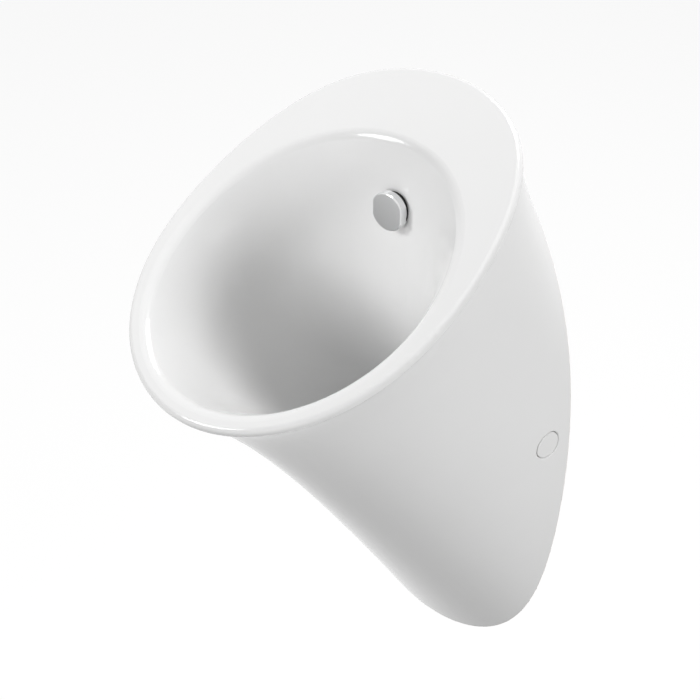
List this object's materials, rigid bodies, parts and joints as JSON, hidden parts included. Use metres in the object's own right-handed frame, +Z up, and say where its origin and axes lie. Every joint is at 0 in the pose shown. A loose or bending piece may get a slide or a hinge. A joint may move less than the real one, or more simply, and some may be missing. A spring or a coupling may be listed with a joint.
{
  "type": "wall-hung urinal",
  "caption": "Wall-hung ceramic urinal with a flared body, tilted flat oval rim, chrome spray head, lift-out strainer, bottle trap and side fixings under flush caps.",
  "frame": {"origin": "on the wall plane, midway between the two side fixings and the four wall holes", "axes": "+Y into the wall, +Z up, +X to the urinal's right as seen from the room"},
  "size_m": [0.3004, 0.3385, 0.5832],
  "materials": {
    "glaze": "gloss glaze",
    "chrome": "polished",
    "polished_steel": "polished",
    "zinc_steel": "zinc plated",
    "brass": "machined",
    "black_rubber": "matt",
    "trap_plastic": "moulded",
    "cap_plastic": "gloss",
    "bush_plastic": "moulded"
  },
  "bodies": {
    "urinal": {"ceramic_body": "glaze", "spray_stem": "chrome", "inlet_nut": "brass", "inlet_socket": "brass", "waste_flange": "polished_steel", "spray_seal": "black_rubber", "inlet_washer": "black_rubber", "inlet_sleeve": "black_rubber", "drain_seal": "black_rubber", "under_seal": "black_rubber", "trap_cup_seal": "black_rubber", "outlet_seal": "black_rubber", "outlet_collar": "black_rubber", "trap_nut": "trap_plastic", "trap_body": "trap_plastic", "dip_tube": "trap_plastic", "trap_cup": "trap_plastic", "outlet_pipe": "trap_plastic", "outlet_nut": "trap_plastic", "clamp_bush_right": "bush_plastic", "wall_bracket_right": "zinc_steel", "clamp_bush_left": "bush_plastic", "wall_bracket_left": "zinc_steel"},
    "strainer": {"strainer": "polished_steel"},
    "spray_o_ring": {"spray_o_ring": "black_rubber"},
    "spray_head": {"spray_head": "chrome"},
    "cover_cap_right": {"cover_cap_right": "cap_plastic"},
    "clamp_screw_right": {"clamp_screw_right": "zinc_steel"},
    "clamp_nut_right": {"clamp_nut_right": "zinc_steel"},
    "cover_cap_left": {"cover_cap_left": "cap_plastic"},
    "clamp_screw_left": {"clamp_screw_left": "zinc_steel"},
    "clamp_nut_left": {"clamp_nut_left": "zinc_steel"}
  },
  "joints": [
    {"name": "strainer_lift", "type": "slide", "parent": "urinal", "child": "strainer", "axis": [0, 0, 1], "range_m": [0, 0.06]},
    {"name": "spray_head_travel", "type": "slide", "parent": "urinal", "child": "spray_o_ring", "axis": [0, -1, 0], "range_m": [0, 0.012]},
    {"name": "spray_head_turn", "type": "hinge", "parent": "spray_o_ring", "child": "spray_head", "pos_m": [0, -0.0888, 0.207], "axis": [0, -1, 0], "range_deg": [0, 2880]},
    {"name": "cover_cap_right_pull", "type": "slide", "parent": "urinal", "child": "cover_cap_right", "axis": [1, 0, 0], "range_m": [0, 0.03]},
    {"name": "clamp_nut_right_travel", "type": "slide", "parent": "urinal", "child": "clamp_nut_right", "axis": [-1, 0, 0], "range_m": [0, 0.0035]},
    {"name": "clamp_screw_right_turn", "type": "hinge", "parent": "urinal", "child": "clamp_screw_right", "pos_m": [0.1312, -0.028, 0], "axis": [1, 0, 0], "range_deg": [0, 1260]},
    {"name": "cover_cap_left_pull", "type": "slide", "parent": "urinal", "child": "cover_cap_left", "axis": [-1, 0, 0], "range_m": [0, 0.03]},
    {"name": "clamp_nut_left_travel", "type": "slide", "parent": "urinal", "child": "clamp_nut_left", "axis": [1, 0, 0], "range_m": [0, 0.0035]},
    {"name": "clamp_screw_left_turn", "type": "hinge", "parent": "urinal", "child": "clamp_screw_left", "pos_m": [-0.1312, -0.028, 0], "axis": [-1, 0, 0], "range_deg": [0, 1260]}
  ],
  "couplings": [
    {"joint": "spray_head_turn", "follows": "spray_head_travel", "rad_per_m": 4188.7},
    {"joint": "clamp_screw_right_turn", "follows": "clamp_nut_right_travel", "rad_per_m": 6283.1},
    {"joint": "clamp_screw_left_turn", "follows": "clamp_nut_left_travel", "rad_per_m": 6283.1}
  ]
}
